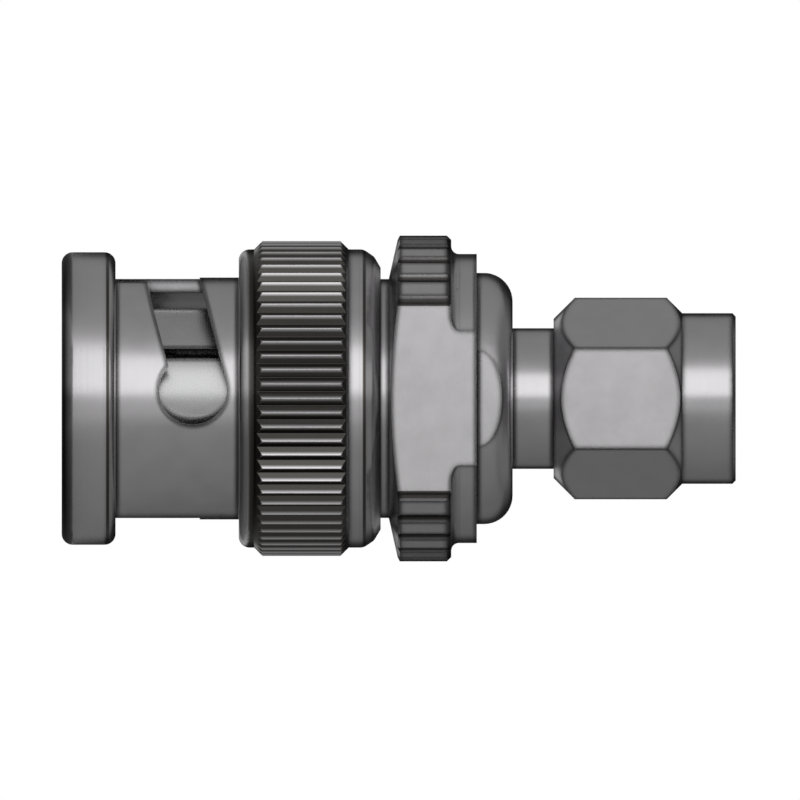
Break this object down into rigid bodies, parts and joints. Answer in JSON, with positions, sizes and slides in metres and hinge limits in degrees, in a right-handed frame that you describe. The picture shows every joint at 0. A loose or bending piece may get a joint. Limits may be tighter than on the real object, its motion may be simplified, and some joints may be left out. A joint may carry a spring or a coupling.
{
  "type": "coaxial adapter, bayonet plug to threaded plug",
  "caption": "Straight coaxial adapter: a quarter-turn bayonet plug with a knurled sprung sleeve on one end and a small threaded plug with a hexagon coupling nut on the other.",
  "frame": {"origin": "centre of the bayonet sleeve's front ring, on the surface that the adapter stands on", "axes": "+Z along the common axis from the bayonet plug to the threaded plug; the spanner flats face -Y and +Y"},
  "size_m": [0.0148, 0.0144, 0.0306],
  "materials": {
    "plated_brass": "satin nickel plate on brass",
    "contact_plate": "satin nickel plate on bronze",
    "spring_bronze": "bright rolled spring bronze",
    "gold_plate": "gold plate on beryllium copper",
    "white_insulator": "turned fluoropolymer",
    "silicone": "moulded silicone rubber"
  },
  "bodies": {
    "body": {"main_body": "plated_brass", "plug_body": "plated_brass", "threaded_body": "plated_brass", "outer_contact": "contact_plate", "bayonet_gasket": "silicone", "bayonet_insulator": "white_insulator", "bayonet_pin": "gold_plate", "threaded_gasket": "silicone", "threaded_insulator": "white_insulator", "threaded_pin": "gold_plate", "wave_washer_front": "spring_bronze", "wave_washer_rear": "spring_bronze"},
    "spring_seat": {"thrust_washer": "spring_bronze"},
    "sleeve": {"bayonet_sleeve": "plated_brass"},
    "retainer": {"snap_ring": "spring_bronze"},
    "nut": {"coupling_nut": "plated_brass"}
  },
  "joints": [
    {"name": "sleeve_slide", "type": "slide", "parent": "body", "child": "spring_seat", "axis": [0, 0, -1], "range_m": [0, 0.0008], "stiffness_N_per_m": 15000, "springref_m": -0.0003, "deforming": ["wave_washer_front", "wave_washer_rear"]},
    {"name": "sleeve_turn", "type": "hinge", "parent": "spring_seat", "child": "sleeve", "pos_m": [0, 0, 0.007], "axis": [0, 0, 1], "continuous": true},
    {"name": "nut_float", "type": "slide", "parent": "body", "child": "retainer", "axis": [0, 0, 1], "range_m": [0, 0.00025]},
    {"name": "nut_turn", "type": "hinge", "parent": "retainer", "child": "nut", "pos_m": [0, 0, 0.0265], "axis": [0, 0, 1], "continuous": true}
  ]
}
